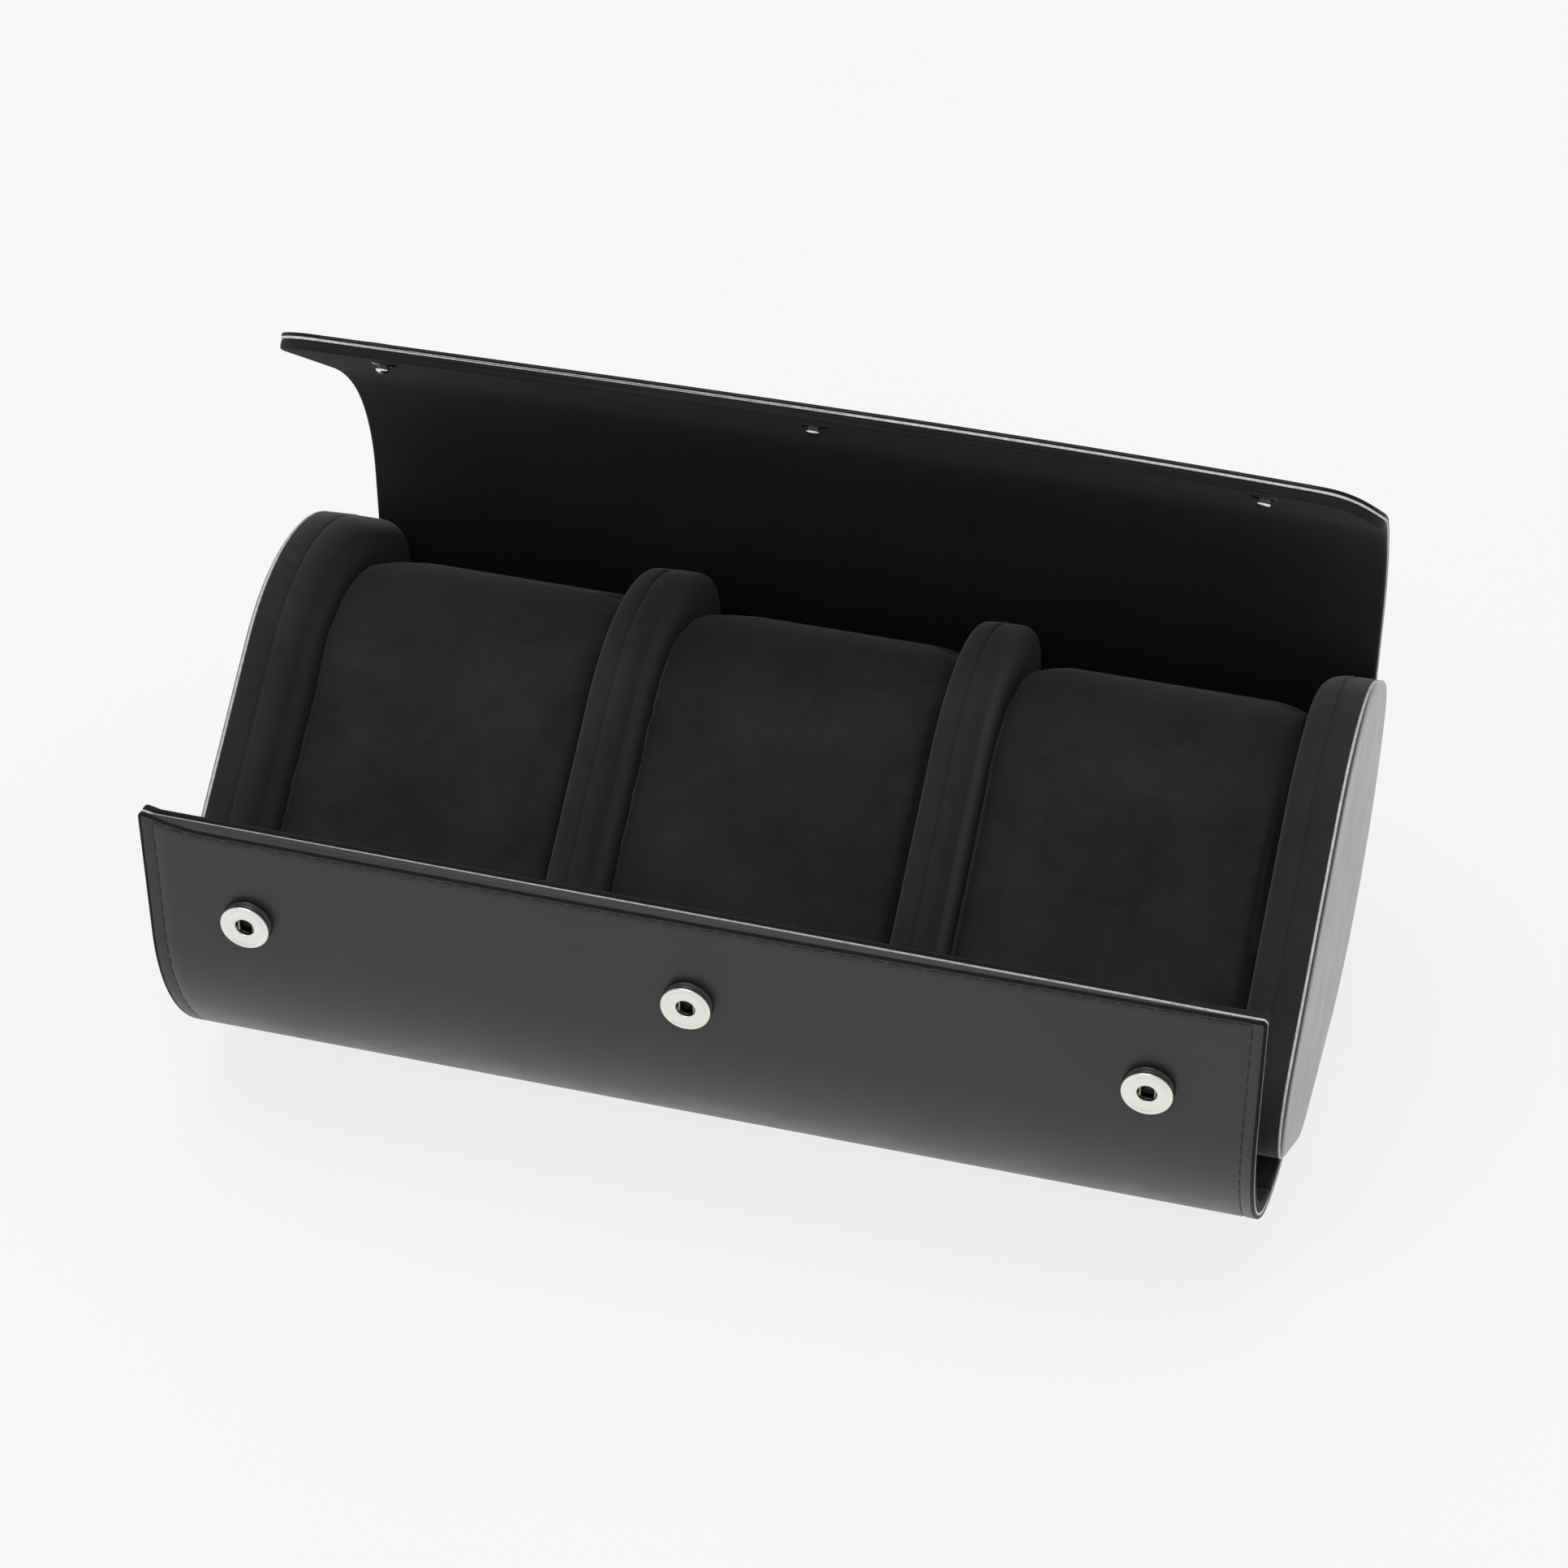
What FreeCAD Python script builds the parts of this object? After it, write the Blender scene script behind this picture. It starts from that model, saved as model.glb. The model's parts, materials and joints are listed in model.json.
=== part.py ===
import FreeCAD, Part
import math
import os

# A travel roll for three watches: a stiff leather wrap with a front flap and a curling lid,
# two padded end walls, two dividers and three loose pillows, closed by three press studs.
# X runs along the roll, -Y is the front (flap), +Y the back (lid), +Z is up. Z = 0 is the
# flat face that the roll rests on, and the origin is the middle of that face's width.

# ---- driving dimensions, in millimetres and degrees ------------------------------------------
WRAP_WIDTH = 219.0          # along X

LEATHER = 1.4               # outer leather
BOARD = 1.0                 # stiffener
LINING = 0.9                # microfibre lining
HEM = 6.0                   # the board stops this far inside every edge
FOLD_LAND = 4.0             # solid leather each side of a fold, with no board or lining
FOLD_GAP = 0.3              # running clearance round a fold's bead

FLAP_FRONT = 78.0           # outer face of the upright flap, in front of the origin
FLAP_HEIGHT = 78.0
FLAP_BEND = 50.0            # outer radius of the flap's bend
FLAP_FOLD_ANGLE = 55.0      # the second fold's place round that bend, from the bottom
FLAP_HINGE_Y = -22.0        # the first fold, in the flat bottom
FLAP_CORNER = 1.5

WRAP_BACK = 58.0            # outer face of the upright back
BACK_BEND = 42.0
LID_HINGE_Z = 56.0
LID_RADIUS = 52.0
LID_TURN = 51.0             # how far the lid leans forward
LID_ROOT = 15.0             # upright run between the lid's fold and its bend
LID_FLAT = 37.7             # straight run from the bend to the lid's edge
LID_CORNER = 12.0

BODY_GAP = 0.2              # end walls and dividers to the lining
BACK_CORNER_Z = 59.0        # sharp corners of the body's outline, before rounding
PEAK = (8.0, 92.8)
NOSE = (-69.2, 33.4)
BELLY_Y = -26.5
BODY_BACK_RADIUS = 46.0     # rounder than the wrap, which leaves a gap at that corner
BACK_CORNER_RADIUS = 18.0
PEAK_RADIUS = 38.0
NOSE_RADIUS = 14.0
BELLY_RADIUS = 25.0

END_WALL = 11.3             # thickness of an end wall
END_PROUD = 2.8             # end wall stands out past the wrap's side edge
DIVIDER = 9.0
DIVIDER_X = 35.2            # middle of each divider
DIVIDER_INSET = 0.5         # divider outline inside the end walls' outline
WALL_SKIN = 1.2             # leather cover of walls and dividers
SUEDE = 1.0

PILLOW_WIDTH = 58.0
PILLOW_INSET = 8.0          # pillow outline inside the end walls' outline
PILLOW_SEAT = 0.3
PILLOW_COVER = 1.5
PILLOW_MIN_RADIUS = 8.0

SNAP_X = 88.7               # the outer press studs, each side of the middle one
SOCKET_FROM_EDGE = 20.5
STUD_FROM_EDGE = 7.0
SOCKET_RADIUS = 5.0
SOCKET_HEIGHT = 2.4
SOCKET_DISC = 1.0           # thickness of the front disc, on a narrower neck
SOCKET_NECK_RADIUS = 4.4
SOCKET_BORE = 1.9
SPRING_ROOM = 3.0
SPRING_WIRE = 0.25
SPRING_X = 1.45
EYELET_RADIUS = 2.4
EYELET_FLANGE = 5.0
STUD_BASE = 2.6
STUD_NECK = 1.1
STUD_HEAD = 1.5
STUD_HEIGHT = 2.0
STUD_SEAT = 0.1             # between the flat flange and the lid's lining
CAP_RADIUS = 6.0
CAP_HEIGHT = 0.8
POST_RADIUS = 1.3
FLANGE = 0.5                # thickness of flanges and rims
HOLE_ROOM = 0.15            # hole radius over the shank that passes through it

# ---- sizes that follow -----------------------------------------------------------------------
THICK = LEATHER + BOARD + LINING
HALF = WRAP_WIDTH / 2
QUARTER = 90.0

# The wrap's outer face, walked from the flap's edge to the lid's edge with the inside of the
# roll on the left: (length, radius), where radius 0 is a straight run.
BOTTOM_RUN = (FLAP_FRONT - FLAP_BEND) + (WRAP_BACK - BACK_BEND)
WALK = [
    (FLAP_HEIGHT - FLAP_BEND, 0.0),
    (FLAP_BEND * math.radians(QUARTER), FLAP_BEND),
    (BOTTOM_RUN, 0.0),
    (BACK_BEND * math.radians(QUARTER), BACK_BEND),
    (LID_HINGE_Z - BACK_BEND, 0.0),
    (LID_ROOT, 0.0),
    (LID_RADIUS * math.radians(LID_TURN), LID_RADIUS),
    (LID_FLAT, 0.0),
]
FLAT_START = WALK[0][0] + WALK[1][0]
FLAP_FOLD_AT = FLAT_START - FLAP_BEND * math.radians(FLAP_FOLD_ANGLE)
FLAP_HINGE_AT = FLAT_START + FLAP_HINGE_Y + FLAP_FRONT - FLAP_BEND
LID_HINGE_AT = sum(length for length, _ in WALK[:5])
LID_EDGE_AT = sum(length for length, _ in WALK)
BEAD = THICK / 2

os.makedirs("parts", exist_ok=True)


def save(name, *solids):
    shape = solids[0] if len(solids) == 1 else Part.makeCompound(list(solids))
    shape.exportStep("parts/" + name + ".step")


# ---- the wrap --------------------------------------------------------------------------------
def on_wrap(at, depth=0.0, x=0.0):
    """Point and inward normal at a length along the wrap's outer face, depth below that face."""
    y, z, heading = -FLAP_FRONT, FLAP_HEIGHT, -math.pi / 2
    for length, radius in WALK:
        step = min(at, length)
        if radius:
            turn = step / radius
            y += radius * (math.sin(heading + turn) - math.sin(heading))
            z += radius * (math.cos(heading) - math.cos(heading + turn))
            heading += turn
        else:
            y += step * math.cos(heading)
            z += step * math.sin(heading)
        at -= step
        if at <= 0:
            break
    normal = FreeCAD.Vector(0, -math.sin(heading), math.cos(heading))
    return FreeCAD.Vector(x, y, z) + normal * depth, normal


def wrap_edges(start, end, depth):
    """Lines and arcs that follow the wrap at one depth, from one length along it to another."""
    edges = []
    done = 0.0
    for length, radius in WALK:
        low, high = max(start, done), min(end, done + length)
        done += length
        if high - low < 1e-6:
            continue
        first, _ = on_wrap(low, depth)
        last, _ = on_wrap(high, depth)
        if radius:
            middle, _ = on_wrap((low + high) / 2, depth)
            edges.append(Part.Arc(first, middle, last).toShape())
        else:
            edges.append(Part.makeLine(first, last))
    return edges


def strip(start, end, top, bottom, side_margin=0.0):
    """A layer of the wrap between two lengths and two depths, across the width."""
    edges = wrap_edges(start, end, top) + wrap_edges(start, end, bottom)
    edges.append(Part.makeLine(on_wrap(start, top)[0], on_wrap(start, bottom)[0]))
    edges.append(Part.makeLine(on_wrap(end, top)[0], on_wrap(end, bottom)[0]))
    face = Part.Face(Part.Wire(Part.__sortEdges__(edges)))
    reach = HALF - side_margin
    face.translate(FreeCAD.Vector(-reach, 0, 0))
    return face.extrude(FreeCAD.Vector(2 * reach, 0, 0))


def fold_rod(at, radius):
    centre, _ = on_wrap(at, THICK / 2, -HALF)
    return Part.makeCylinder(radius, WRAP_WIDTH, centre, FreeCAD.Vector(1, 0, 0))


def corner_cutter(at, side, radius, inward):
    """Takes the sharp corner off the wrap's free edge, leaving a quarter round."""
    edge, normal = on_wrap(at, -THICK, side * HALF)
    along = on_wrap(at + inward * radius, -THICK, side * HALF)[0] - edge
    along.normalize()
    across = FreeCAD.Vector(-side, 0, 0)
    over = 1.0
    outside = edge - along * over - across * over
    centre = edge + along * radius + across * radius
    square = Part.makePolygon([
        outside,
        outside + along * (radius + over),
        centre,
        outside + across * (radius + over),
        outside,
    ])
    block = Part.Face(square).extrude(normal * (3 * THICK))
    return block.cut(Part.makeCylinder(radius, 3 * THICK, centre, normal))


def panel(name, start, end, bead_start, bead_end, corner=0.0, corner_at=0.0, holes=()):
    """One stiffened length of the wrap. At a fold it ends in a bead (True) or a hollow that
    the next panel's bead turns in (False); at a free edge (None) it ends square."""
    pocket_start = start + (HEM if bead_start is None else FOLD_LAND)
    pocket_end = end - (HEM if bead_end is None else FOLD_LAND)
    lining_start = start + (0.0 if bead_start is None else FOLD_LAND)
    lining_end = end - (0.0 if bead_end is None else FOLD_LAND)
    board = strip(pocket_start, pocket_end, LEATHER, LEATHER + BOARD, HEM)
    lining = strip(lining_start, lining_end, LEATHER + BOARD, THICK)
    leather = strip(start, end, 0.0, THICK).cut(lining).cut(board)
    for at, bead in ((start, bead_start), (end, bead_end)):
        if bead is True:
            leather = leather.fuse(fold_rod(at, BEAD)).removeSplitter()
        if bead is False:
            leather = leather.cut(fold_rod(at, BEAD + FOLD_GAP))
    cutters = list(holes)
    if corner:
        inward = 1 if corner_at == start else -1
        cutters += [corner_cutter(corner_at, side, corner, inward) for side in (-1, 1)]
    for cutter in cutters:
        leather = leather.cut(cutter)
        board = board.cut(cutter)
        lining = lining.cut(cutter)
    save(name + "_leather", leather)
    save(name + "_board", board)
    save(name + "_lining", lining)


# ---- press studs -----------------------------------------------------------------------------
def rod(point, direction, start, end, radius):
    """A round bar along a direction, between two distances from a point."""
    return Part.makeCylinder(radius, end - start, point + direction * start, direction)


def hole_through(at, x, radius):
    point, normal = on_wrap(at, 0.0, x)
    return rod(point, normal, -THICK, 2 * THICK, radius)


def socket(at, x):
    point, normal = on_wrap(at, 0.0, x)
    out = normal * -1
    ring = rod(point, out, 0, SOCKET_HEIGHT, SOCKET_NECK_RADIUS)
    disc = rod(point, out, SOCKET_HEIGHT - SOCKET_DISC, SOCKET_HEIGHT, SOCKET_RADIUS)
    ring = ring.fuse(disc).removeSplitter()
    room = rod(point, out, FLANGE, SOCKET_HEIGHT - FLANGE, SPRING_ROOM)
    bore = rod(point, out, -1, SOCKET_HEIGHT + 1, SOCKET_BORE)
    return ring.cut(room).cut(bore)


def socket_spring(at, x):
    """Two straight wires that grip the stud's neck from both sides."""
    point, normal = on_wrap(at, -SOCKET_HEIGHT / 2, x)
    wires = []
    reach = math.sqrt((SPRING_ROOM - FOLD_GAP) ** 2 - SPRING_X ** 2) - SPRING_WIRE
    along = FreeCAD.Vector(1, 0, 0).cross(normal)
    for side in (-1, 1):
        centre = point + FreeCAD.Vector(side * SPRING_X, 0, 0)
        wires.append(rod(centre, along, -reach, reach, SPRING_WIRE))
    return wires


def eyelet(at, x):
    point, normal = on_wrap(at, 0.0, x)
    body = rod(point, normal, 0, THICK, EYELET_RADIUS)
    body = body.fuse(rod(point, normal, THICK, THICK + FLANGE, EYELET_FLANGE))
    return body.cut(rod(point, normal, -1, THICK + FLANGE + 1, SOCKET_BORE))


def stud(at, x):
    """Flange, neck and rounded head, standing on the lining."""
    point, normal = on_wrap(at, THICK + STUD_SEAT, x)
    neck_top = STUD_HEIGHT - STUD_HEAD
    body = rod(point, normal, 0, FLANGE, STUD_BASE)
    body = body.fuse(rod(point, normal, 0, neck_top, STUD_NECK))
    head = Part.makeSphere(STUD_HEAD, point + normal * neck_top)
    keep = rod(point, normal, FLANGE, STUD_HEIGHT, STUD_BASE)
    return body.fuse(head.common(keep))


def cap(at, x):
    """A shallow domed cap on the lid's outer face, with the post that goes through."""
    point, normal = on_wrap(at, 0.0, x)
    base = FreeCAD.Vector(CAP_RADIUS, 0, 0)
    rim = FreeCAD.Vector(CAP_RADIUS, 0, FLANGE)
    top = FreeCAD.Vector(0, 0, CAP_HEIGHT)
    rise = CAP_HEIGHT - FLANGE
    dome_radius = (CAP_RADIUS ** 2 + rise ** 2) / (2 * rise)
    half = CAP_RADIUS / 2
    drop = dome_radius - math.sqrt(dome_radius ** 2 - half ** 2)
    crown = FreeCAD.Vector(half, 0, CAP_HEIGHT - drop)
    profile = [
        Part.makeLine(FreeCAD.Vector(0, 0, 0), base),
        Part.makeLine(base, rim),
        Part.Arc(rim, crown, top).toShape(),
        Part.makeLine(top, FreeCAD.Vector(0, 0, 0)),
    ]
    face = Part.Face(Part.Wire(profile))
    dome = face.revolve(FreeCAD.Vector(0, 0, 0), FreeCAD.Vector(0, 0, 1), 360)
    dome.Placement = FreeCAD.Placement(point, FreeCAD.Rotation(FreeCAD.Vector(0, 0, 1), normal * -1))
    return dome.fuse(rod(point, normal, 0, THICK, POST_RADIUS))


# ---- the body inside the wrap ----------------------------------------------------------------
def body_corners(inset, floor):
    """Corners (y, z, radius) of the body's outline, moved inward, standing on a floor."""
    back = WRAP_BACK - THICK - BODY_GAP
    outline_floor = THICK + BODY_GAP
    points = [
        (back, outline_floor),
        (back, BACK_CORNER_Z),
        PEAK,
        NOSE,
        (BELLY_Y, outline_floor),
    ]
    radii = [BODY_BACK_RADIUS, BACK_CORNER_RADIUS, PEAK_RADIUS, NOSE_RADIUS, BELLY_RADIUS]
    lines = []
    for index, (y, z) in enumerate(points):
        next_y, next_z = points[(index + 1) % len(points)]
        length = math.hypot(next_y - y, next_z - z)
        along = ((next_y - y) / length, (next_z - z) / length)
        moved = (y - along[1] * inset, z + along[0] * inset)
        lines.append((moved, along))
    lines[-1] = ((0.0, floor), (1.0, 0.0))
    corners = []
    for index, radius in enumerate(radii):
        (ay, az), (ady, adz) = lines[index - 1]
        (by, bz), (bdy, bdz) = lines[index]
        cross = ady * bdz - adz * bdy
        step = ((by - ay) * bdz - (bz - az) * bdy) / cross
        smallest = PILLOW_MIN_RADIUS if inset >= PILLOW_INSET else 0.0
        corners.append((ay + ady * step, az + adz * step, max(radius - inset, smallest)))
    return corners


def rounded_face(corners, x):
    """A closed outline of straight runs joined by tangent arcs, in the plane X = x."""
    edges = []
    ends = []
    for index, (y, z, radius) in enumerate(corners):
        here = FreeCAD.Vector(x, y, z)
        before = FreeCAD.Vector(x, *corners[index - 1][:2]) - here
        after = FreeCAD.Vector(x, *corners[(index + 1) % len(corners)][:2]) - here
        half_angle = before.getAngle(after) / 2
        before.normalize()
        after.normalize()
        tangent = radius / math.tan(half_angle)
        middle = before + after
        middle.normalize()
        centre_distance = radius / math.sin(half_angle)
        first = here + before * tangent
        last = here + after * tangent
        crown = here + middle * (centre_distance - radius)
        edges.append(Part.Arc(first, crown, last).toShape())
        ends.append((first, last))
    for index, (first, _) in enumerate(ends):
        edges.append(Part.makeLine(ends[index - 1][1], first))
    return Part.Face(Part.Wire(Part.__sortEdges__(edges)))


def slab(inset, floor, low_x, high_x):
    face = rounded_face(body_corners(inset, floor), low_x)
    return face.extrude(FreeCAD.Vector(high_x - low_x, 0, 0))


def end_wall(side_name, side):
    """Leather cover over the outer face and the rim, a padded core and a suede inner face."""
    floor = THICK + BODY_GAP
    outer = side * (HALF + END_PROUD)
    inner = outer - side * END_WALL
    low, high = min(outer, inner), max(outer, inner)
    skin = outer - side * WALL_SKIN
    suede = inner + side * SUEDE
    whole = slab(0.0, floor, low, high)
    core = slab(WALL_SKIN, floor + WALL_SKIN, min(skin, suede), max(skin, suede))
    lining = slab(WALL_SKIN, floor + WALL_SKIN, min(suede, inner), max(suede, inner))
    save("end_wall_cover_" + side_name, whole.cut(core).cut(lining))
    save("end_wall_core_" + side_name, core)
    save("end_wall_lining_" + side_name, lining)


def divider(side_name, middle):
    """A leather rim round a core, with a suede face on each side."""
    floor = THICK + BODY_GAP
    low, high = middle - DIVIDER / 2, middle + DIVIDER / 2
    whole = slab(DIVIDER_INSET, floor, low, high)
    inset = DIVIDER_INSET + WALL_SKIN
    core = slab(inset, floor + WALL_SKIN, low + SUEDE, high - SUEDE)
    first = slab(inset, floor + WALL_SKIN, low, low + SUEDE)
    second = slab(inset, floor + WALL_SKIN, high - SUEDE, high)
    save("divider_rim_" + side_name, whole.cut(core).cut(first).cut(second))
    save("divider_core_" + side_name, core)
    save("divider_suede_" + side_name, first, second)


def pillow(place_name, middle):
    floor = THICK + PILLOW_SEAT
    low, high = middle - PILLOW_WIDTH / 2, middle + PILLOW_WIDTH / 2
    whole = slab(PILLOW_INSET, floor, low, high)
    core = slab(PILLOW_INSET + PILLOW_COVER, floor + PILLOW_COVER,
                low + PILLOW_COVER, high - PILLOW_COVER)
    save("pillow_cover_" + place_name, whole.cut(core))
    save("pillow_core_" + place_name, core)


# ---- build -----------------------------------------------------------------------------------
PLACES = (("left", -1), ("middle", 0), ("right", 1))
SOCKET_AT = SOCKET_FROM_EDGE
STUD_AT = LID_EDGE_AT - STUD_FROM_EDGE

socket_holes = [hole_through(SOCKET_AT, k * SNAP_X, EYELET_RADIUS + HOLE_ROOM) for _, k in PLACES]
stud_holes = [hole_through(STUD_AT, k * SNAP_X, POST_RADIUS + HOLE_ROOM) for _, k in PLACES]

panel("flap_upper", 0.0, FLAP_FOLD_AT, None, False, FLAP_CORNER, 0.0, socket_holes)
panel("flap_lower", FLAP_FOLD_AT, FLAP_HINGE_AT, True, False)
panel("wrap_base", FLAP_HINGE_AT, LID_HINGE_AT, True, True)
panel("lid", LID_HINGE_AT, LID_EDGE_AT, False, None, LID_CORNER, LID_EDGE_AT, stud_holes)

inner_face = HALF + END_PROUD - END_WALL
outer_bay_middle = (inner_face + DIVIDER_X + DIVIDER / 2) / 2
for place, k in PLACES:
    save("snap_socket_" + place, socket(SOCKET_AT, k * SNAP_X))
    save("snap_spring_" + place, *socket_spring(SOCKET_AT, k * SNAP_X))
    save("snap_eyelet_" + place, eyelet(SOCKET_AT, k * SNAP_X))
    save("snap_stud_" + place, stud(STUD_AT, k * SNAP_X))
    save("snap_cap_" + place, cap(STUD_AT, k * SNAP_X))
    pillow(place, k * outer_bay_middle)
    if k:
        end_wall(place, k)
        divider(place, k * DIVIDER_X)
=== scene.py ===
import json
import math
import random

import bmesh
import bpy
import numpy as np
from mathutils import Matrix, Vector


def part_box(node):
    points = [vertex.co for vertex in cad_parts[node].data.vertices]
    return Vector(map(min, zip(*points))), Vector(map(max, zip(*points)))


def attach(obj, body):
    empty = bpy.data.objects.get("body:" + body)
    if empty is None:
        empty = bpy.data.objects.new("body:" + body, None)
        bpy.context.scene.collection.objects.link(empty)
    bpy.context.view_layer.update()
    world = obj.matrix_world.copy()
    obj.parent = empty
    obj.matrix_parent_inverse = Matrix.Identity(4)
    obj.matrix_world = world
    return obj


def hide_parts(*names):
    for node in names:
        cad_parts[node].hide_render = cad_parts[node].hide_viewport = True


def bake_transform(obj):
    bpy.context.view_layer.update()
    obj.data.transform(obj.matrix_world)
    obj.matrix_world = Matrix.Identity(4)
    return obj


# The looks of an open watch roll: a leather wrap with rounded, stitched edges, suede end walls,
# dividers and pillows, and nickel press studs. Metres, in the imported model's own frame.
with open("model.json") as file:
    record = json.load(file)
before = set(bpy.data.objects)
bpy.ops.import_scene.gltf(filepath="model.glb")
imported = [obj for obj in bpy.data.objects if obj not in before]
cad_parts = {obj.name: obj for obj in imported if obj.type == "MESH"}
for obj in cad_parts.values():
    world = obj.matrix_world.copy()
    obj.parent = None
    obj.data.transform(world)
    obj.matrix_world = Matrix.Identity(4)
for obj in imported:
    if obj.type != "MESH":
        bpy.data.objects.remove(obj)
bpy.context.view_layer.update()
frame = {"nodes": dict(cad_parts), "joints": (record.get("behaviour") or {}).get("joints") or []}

MM = 0.001

# ---- sizes, from the frame where it has them ---------------------------------------------------
flap_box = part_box("flap_upper_leather")
base_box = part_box("wrap_base_leather")
joints = {j["name"]: j for j in frame["joints"]}

HALF_WIDTH = base_box[1].x
FLAP_FRONT = flap_box[0].y
FLAP_TOP = flap_box[1].z
WRAP_BACK = base_box[1].y
LID_HINGE_Z = joints["lid_hinge"]["pos_m"][2]
FLAP_BEND = 50 * MM
BACK_BEND = 42 * MM
LID_ROOT = 15 * MM
LID_RADIUS = 52 * MM
LID_TURN = math.radians(51)
LID_FLAT = 37.7 * MM
STUD_FROM_EDGE = 7 * MM

THICKNESS = 3.3 * MM
LEATHER_DEPTH = 0.75 * MM       # outer leather, seen at the edge
PALE_EDGE_DEPTH = 0.5 * MM             # pale cut edge between the leather and the lining, partly a painted highlight along the rounded edge
PALE_EDGE_INSET = 0.05 * MM
LINING_INSET = 0.1 * MM
LEATHER_ROUND = 0.3 * MM        # the layers' rounded edges
PALE_EDGE_ROUND = 0.1 * MM
EDGE_ROUND = 0.6 * MM
LID_CORNER = 12 * MM
FLAP_CORNER = 1.2 * MM
LID_BOW = 1.6 * MM              # the lid's edge bows up in the middle
FLAP_SAG = 0.8 * MM             # the flap's edge hangs down in the middle
FLAP_EAR = 2.2 * MM             # its left corner turns up
EAR_REACH = 6 * MM
LID_FLARE = 3.4 * MM            # the lid spreads sideways towards its edge
LID_LIFT = 1.2 * MM             # and its middle stands outward, a little more on the right
LID_CURL = 3.2 * MM             # its right corner curls inward
CURL_REACH = 15 * MM
BOW_REACH = 60 * MM

STITCH_INSET = 2.8 * MM         # from the sides
EDGE_STITCH = 1.4 * MM          # from the free edges
STITCH_PITCH = 3.6 * MM
STITCH_LENGTH = 2.7 * MM
THREAD = 0.2 * MM
THREAD_SINK = 0.6               # of the pressed line's depth
FLAT_BOTTOM = 0.999             # an inward normal steeper than this is the resting face's
GROOVE_DEPTH = 0.35 * MM        # the stitches lie in a pressed line
GROOVE_HALF = 0.5 * MM
EDGE_BAND = 0.7 * MM            # edge paint laps this far over the outer face
FAR_FROM_EDGE = 1.0             # stands for "no free edge here"

RIGHT_ANGLE = math.pi / 2
STEP = 2.5 * MM                 # mesh size along the wrap

# The outer face, walked from the flap's edge to the lid's edge: (length, radius or 0).
WALK = [
    (FLAP_TOP - FLAP_BEND, 0),
    (FLAP_BEND * RIGHT_ANGLE, FLAP_BEND),
    ((WRAP_BACK - BACK_BEND) - (FLAP_FRONT + FLAP_BEND), 0),
    (BACK_BEND * RIGHT_ANGLE, BACK_BEND),
    (LID_HINGE_Z - BACK_BEND, 0),
    (LID_ROOT, 0),
    (LID_RADIUS * LID_TURN, LID_RADIUS),
    (LID_FLAT, 0),
]
LID_EDGE_AT = sum(length for length, _ in WALK)
FLAT_START = WALK[0][0] + WALK[1][0]
BASE_SPLIT = FLAT_START + WALK[2][0] / 2
LID_HINGE_AT = sum(length for length, _ in WALK[:5])


def on_wrap(at, depth=0.0, x=0.0):
    """Point, along direction and inward normal, at a length along the wrap's outer face."""
    y, z, heading = FLAP_FRONT, FLAP_TOP, -RIGHT_ANGLE
    left = max(at, 0.0)
    for length, radius in WALK:
        step = min(left, length)
        if radius:
            turn = step / radius
            y += radius * (math.sin(heading + turn) - math.sin(heading))
            z += radius * (math.cos(heading) - math.cos(heading + turn))
            heading += turn
        else:
            y += step * math.cos(heading)
            z += step * math.sin(heading)
        left -= step
        if left <= 0:
            break
    along = Vector((0, math.cos(heading), math.sin(heading)))
    normal = Vector((0, -math.sin(heading), math.cos(heading)))
    overshoot = at - LID_EDGE_AT if at > LID_EDGE_AT else min(at, 0.0)
    return Vector((x, y, z)) + normal * depth + along * overshoot, along, normal


def bow(at, x):
    """How far an edge is pushed along the wrap by its gentle bow across the width."""
    across = 1 - (x / HALF_WIDTH) ** 2
    lid = max(0.0, 1 - (LID_EDGE_AT - at) / BOW_REACH)
    flap = max(0.0, 1 - at / BOW_REACH)
    ear = math.exp(-((x + HALF_WIDTH) / EAR_REACH) ** 2)
    return LID_BOW * across * lid ** 2 + (FLAP_SAG * across - FLAP_EAR * ear) * flap ** 2


def lift(at, x):
    """How far the lid stands outward from the plain wrap; its right corner curls inward."""
    share = x / HALF_WIDTH
    lid = max(0.0, 1 - (LID_EDGE_AT - at) / BOW_REACH)
    curl = LID_CURL * max(0.0, 1 - (HALF_WIDTH - x) / CURL_REACH) ** 3
    return (LID_LIFT * (1 - share ** 2) * (1 + share / 2) - curl) * lid ** 2


def fold_at(joint):
    """The length along the wrap that is nearest to a joint's axis."""
    y, z = joints[joint]["pos_m"][1:]
    steps = [k * MM / 4 for k in range(int(LID_EDGE_AT / MM) * 4)]
    return min(steps, key=lambda at: (on_wrap(at)[0].yz - Vector((y, z))).length)


FLAP_FOLD_AT = fold_at("flap_fold")
FLAP_HINGE_AT = fold_at("flap_hinge")
FLAP_SPLIT = (FLAP_FOLD_AT + FLAP_HINGE_AT) / 2

# Three lengths of wrap: each crosses one fold, and they meet where nothing bends.
# Each has its start, its end, the bodies it joins, its fold, and which way the second body lies.
LENGTHS = {
    "flap": (0.0, FLAP_SPLIT, "flap_lower", "flap_upper", FLAP_FOLD_AT, -1),
    "front": (FLAP_SPLIT, BASE_SPLIT, "case", "flap_lower", FLAP_HINGE_AT, -1),
    "back": (BASE_SPLIT, LID_EDGE_AT, "case", "lid", LID_HINGE_AT, 1),
}


# ---- mesh helpers ------------------------------------------------------------------------------
def new_object(name, points, faces, material, smooth=True):
    mesh = bpy.data.meshes.new(name)
    mesh.from_pydata([tuple(p) for p in points], [], faces)
    mesh.update()
    obj = bpy.data.objects.new(name, mesh)
    bpy.context.scene.collection.objects.link(obj)
    mesh.materials.append(material)
    for polygon in mesh.polygons:
        polygon.use_smooth = smooth
    return obj


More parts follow.
